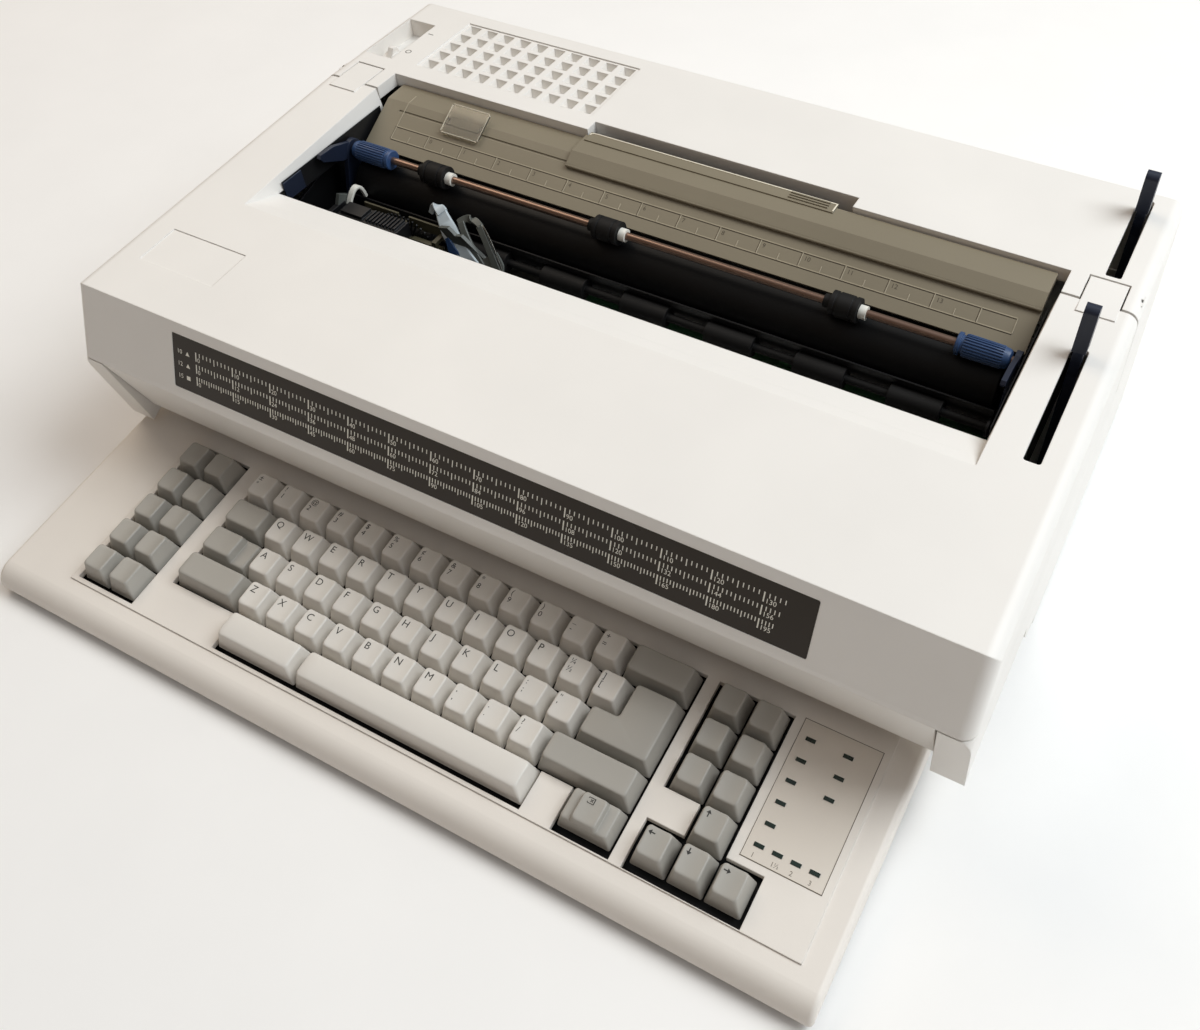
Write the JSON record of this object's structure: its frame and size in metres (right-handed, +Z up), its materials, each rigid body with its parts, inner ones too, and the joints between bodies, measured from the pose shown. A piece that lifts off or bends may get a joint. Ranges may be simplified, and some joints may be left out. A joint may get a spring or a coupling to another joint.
{
  "type": "electronic typewriter",
  "caption": "Free-standing electronic typewriter with a lifting access cover, a paper bail over its platen, a sliding carrier and a separate low keyboard.",
  "frame": {"origin": "on the desk, under the middle of the machine and keyboard together", "axes": "+X to the typist's right, +Y towards the machine's back, +Z up"},
  "size_m": [0.524, 0.44, 0.174],
  "materials": {
    "cover_plastic": "fine grained warm off-white moulding",
    "keyboard_plastic": "fine grained beige moulding",
    "cream_key": "satin cream key cap",
    "grey_key": "satin grey key cap",
    "olive_plastic": "satin olive moulding",
    "navy_plastic": "satin navy moulding",
    "blue_plastic": "satin blue ribbed moulding",
    "black_rubber": "ground black rubber",
    "black_plastic": "black moulding",
    "white_plastic": "white bush plastic",
    "pale_plastic": "pale blue-grey moulding",
    "steel": "ground bright steel",
    "dark_steel": "blackened sheet steel",
    "smoked_pane": "smoked window pane",
    "clear_pane": "clear moulded plate",
    "green_lens": "dark green lamp window",
    "board_green": "green circuit board",
    "belt_rubber": "toothed belt rubber"
  },
  "bodies": {
    "chassis": {"base_pan": "cover_plastic", "machine_frame": "dark_steel", "frame_bushes": "steel", "frame_screws": "steel", "rear_cover": "cover_plastic", "cover_hinge_pins": "steel", "paper_table": "olive_plastic", "card_holder": "clear_pane", "power_inlet": "black_plastic", "rubber_feet": "black_rubber", "platen_motor": "dark_steel", "paper_deflector": "dark_steel", "guide_rails": "steel", "carrier_motor": "dark_steel", "drive_belt": "belt_rubber", "power_supply": "dark_steel", "logic_board": "board_green"},
    "cover": {"access_cover": "cover_plastic", "margin_window": "smoked_pane"},
    "support": {"paper_support": "olive_plastic"},
    "bail": {"bail_shaft": "steel", "bail_arms": "navy_plastic", "bail_knobs": "blue_plastic", "bail_bushes": "white_plastic", "bail_lever": "navy_plastic"},
    "bail_roller_set": {"bail_rollers": "black_rubber"},
    "release": {"release_lever": "navy_plastic", "release_shaft": "steel"},
    "platen": {"platen_roller": "black_rubber", "platen_shaft": "steel", "platen_gear": "white_plastic"},
    "pinion": {"platen_pinion": "steel"},
    "feed_roller_shaft": {"feed_rollers": "black_rubber"},
    "carrier": {"carrier_frame": "black_plastic", "ribbon_cartridge": "black_plastic", "ribbon_levers": "pale_plastic", "card_guide": "dark_steel", "printwheel_motor": "dark_steel"},
    "print_wheel": {"printwheel": "black_plastic"},
    "drive_pulley_body": {"drive_pulley": "black_plastic"},
    "idler_pulley_body": {"idler_pulley": "black_plastic"},
    "rocker": {"power_rocker": "cover_plastic"},
    "keyboard": {"keyboard_case": "keyboard_plastic", "keyboard_base": "keyboard_plastic", "key_plate": "dark_steel", "indicator_lamps": "green_lens", "keyboard_feet": "black_rubber"},
    "number_row_keys_body": {"number_row_keys": "cream_key"},
    "upper_letter_keys_body": {"upper_letter_keys": "cream_key"},
    "home_letter_keys_body": {"home_letter_keys": "cream_key"},
    "lower_letter_keys_body": {"lower_letter_keys": "cream_key"},
    "backspace_key_body": {"backspace_key": "grey_key"},
    "tab_and_lock_keys_body": {"tab_and_lock_keys": "grey_key"},
    "return_key_body": {"return_key": "grey_key"},
    "shift_keys_body": {"shift_keys": "grey_key"},
    "code_key_body": {"code_key": "cream_key"},
    "space_bar_body": {"space_bar": "cream_key"},
    "erase_key_body": {"erase_key": "grey_key"},
    "left_block_keys_body": {"left_block_keys": "grey_key"},
    "right_block_keys_body": {"right_block_keys": "grey_key"}
  },
  "joints": [
    {"name": "cover_hinge", "type": "hinge", "parent": "chassis", "child": "cover", "pos_m": [0, 0.1301, 0.144], "axis": [-1, 0, 0], "range_deg": [0, 60]},
    {"name": "support_hinge", "type": "hinge", "parent": "chassis", "child": "support", "pos_m": [0, 0.11, 0.13723], "axis": [1, 0, 0], "range_deg": [0, 50]},
    {"name": "bail_swing", "type": "hinge", "parent": "chassis", "child": "bail", "pos_m": [0, 0.062, 0.065], "axis": [1, 0, 0], "range_deg": [0, 34]},
    {"name": "bail_roller_spin", "type": "hinge", "parent": "bail", "child": "bail_roller_set", "pos_m": [0, 0.0771, 0.1285], "axis": [1, 0, 0], "continuous": true},
    {"name": "release_swing", "type": "hinge", "parent": "chassis", "child": "release", "pos_m": [0, 0.18, 0.062], "axis": [1, 0, 0], "range_deg": [0, 30]},
    {"name": "platen_spin", "type": "hinge", "parent": "chassis", "child": "platen", "pos_m": [0, 0.084, 0.1031], "axis": [1, 0, 0], "continuous": true},
    {"name": "pinion_spin", "type": "hinge", "parent": "chassis", "child": "pinion", "pos_m": [-0.24, 0.10825, 0.0891], "axis": [1, 0, 0], "continuous": true},
    {"name": "feed_spin", "type": "hinge", "parent": "chassis", "child": "feed_roller_shaft", "pos_m": [0, 0.06023, 0.09445], "axis": [1, 0, 0], "continuous": true},
    {"name": "carrier_slide", "type": "slide", "parent": "chassis", "child": "carrier", "axis": [1, 0, 0], "range_m": [-0.004, 0.29]},
    {"name": "printwheel_spin", "type": "hinge", "parent": "carrier", "child": "print_wheel", "pos_m": [-0.16, 0.052, 0.087], "axis": [0, 1, 0], "continuous": true},
    {"name": "drive_pulley_spin", "type": "hinge", "parent": "chassis", "child": "drive_pulley_body", "pos_m": [0.206, 0.038, 0.05], "axis": [0, 0, 1], "continuous": true},
    {"name": "idler_pulley_spin", "type": "hinge", "parent": "chassis", "child": "idler_pulley_body", "pos_m": [-0.206, 0.038, 0.05], "axis": [0, 0, 1], "continuous": true},
    {"name": "rocker_tilt", "type": "hinge", "parent": "chassis", "child": "rocker", "pos_m": [-0.24275, 0.162, 0.133], "axis": [-1, 0, 0], "range_deg": [0, 16]},
    {"name": "keyboard_slide", "type": "slide", "parent": "chassis", "child": "keyboard", "axis": [0, 1, 0], "range_m": [-0.04, 0.02]},
    {"name": "number_row_keys_press", "type": "slide", "parent": "keyboard", "child": "number_row_keys_body", "axis": [0, 0.1219, -0.9925], "range_m": [0, 0.0038], "stiffness_N_per_m": 1053, "springref_m": -0.003},
    {"name": "upper_letter_keys_press", "type": "slide", "parent": "keyboard", "child": "upper_letter_keys_body", "axis": [0, 0.1219, -0.9925], "range_m": [0, 0.0038], "stiffness_N_per_m": 972, "springref_m": -0.003},
    {"name": "home_letter_keys_press", "type": "slide", "parent": "keyboard", "child": "home_letter_keys_body", "axis": [0, 0.1219, -0.9925], "range_m": [0, 0.0038], "stiffness_N_per_m": 891, "springref_m": -0.003},
    {"name": "lower_letter_keys_press", "type": "slide", "parent": "keyboard", "child": "lower_letter_keys_body", "axis": [0, 0.1219, -0.9925], "range_m": [0, 0.0038], "stiffness_N_per_m": 810, "springref_m": -0.003},
    {"name": "backspace_key_press", "type": "slide", "parent": "keyboard", "child": "backspace_key_body", "axis": [0, 0.1219, -0.9925], "range_m": [0, 0.0038], "stiffness_N_per_m": 90, "springref_m": -0.003},
    {"name": "tab_and_lock_keys_press", "type": "slide", "parent": "keyboard", "child": "tab_and_lock_keys_body", "axis": [0, 0.1219, -0.9925], "range_m": [0, 0.0038], "stiffness_N_per_m": 162, "springref_m": -0.003},
    {"name": "return_key_press", "type": "slide", "parent": "keyboard", "child": "return_key_body", "axis": [0, 0.1219, -0.9925], "range_m": [0, 0.0038], "stiffness_N_per_m": 162, "springref_m": -0.003},
    {"name": "shift_keys_press", "type": "slide", "parent": "keyboard", "child": "shift_keys_body", "axis": [0, 0.1219, -0.9925], "range_m": [0, 0.0038], "stiffness_N_per_m": 162, "springref_m": -0.003},
    {"name": "code_key_press", "type": "slide", "parent": "keyboard", "child": "code_key_body", "axis": [0, 0.1219, -0.9925], "range_m": [0, 0.0038], "stiffness_N_per_m": 90, "springref_m": -0.003},
    {"name": "space_bar_press", "type": "slide", "parent": "keyboard", "child": "space_bar_body", "axis": [0, 0.1219, -0.9925], "range_m": [0, 0.0038], "stiffness_N_per_m": 90, "springref_m": -0.003},
    {"name": "erase_key_press", "type": "slide", "parent": "keyboard", "child": "erase_key_body", "axis": [0, 0.1219, -0.9925], "range_m": [0, 0.0038], "stiffness_N_per_m": 90, "springref_m": -0.003},
    {"name": "left_block_keys_press", "type": "slide", "parent": "keyboard", "child": "left_block_keys_body", "axis": [0, 0.1219, -0.9925], "range_m": [0, 0.0038], "stiffness_N_per_m": 810, "springref_m": -0.003},
    {"name": "right_block_keys_press", "type": "slide", "parent": "keyboard", "child": "right_block_keys_body", "axis": [0, 0.1219, -0.9925], "range_m": [0, 0.0038], "stiffness_N_per_m": 810, "springref_m": -0.003}
  ],
  "couplings": [
    {"joint": "pinion_spin", "follows": "platen_spin", "ratio": -3.6667},
    {"joint": "feed_spin", "follows": "platen_spin", "ratio": -3.1667},
    {"joint": "drive_pulley_spin", "follows": "carrier_slide", "rad_per_m": 112.36},
    {"joint": "idler_pulley_spin", "follows": "carrier_slide", "rad_per_m": 112.36}
  ]
}
